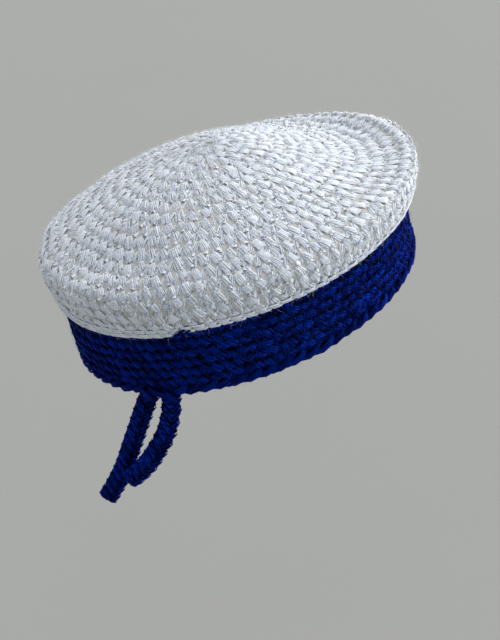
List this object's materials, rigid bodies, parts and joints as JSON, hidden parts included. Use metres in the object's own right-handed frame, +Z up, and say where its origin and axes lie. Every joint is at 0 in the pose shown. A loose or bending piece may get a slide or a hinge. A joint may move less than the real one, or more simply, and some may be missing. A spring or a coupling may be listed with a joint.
{
  "type": "crocheted sailor cap",
  "caption": "Soft crocheted sailor cap: puffy beret-like crown, upright head band with a scalloped edging, and a pair of short flat straps hanging at the back right.",
  "frame": {"origin": "centre of the head opening, in the plane of the band's lower edge", "axes": "upright wearer's head: +Z up, -Y the way the face looks, -X the wearer's right; the cap sits on it pushed back 15.8 degrees, with its front high"},
  "size_m": [0.189, 0.2117, 0.1916],
  "materials": {
    "white_yarn": "soft white crochet yarn, slightly fuzzy",
    "blue_yarn": "royal-blue crochet yarn with a soft sheen"
  },
  "bodies": {
    "root": {"crown": "white_yarn", "band": "blue_yarn", "band_edging": "blue_yarn", "tail_rear": "blue_yarn", "tail_front": "blue_yarn"}
  },
  "joints": []
}
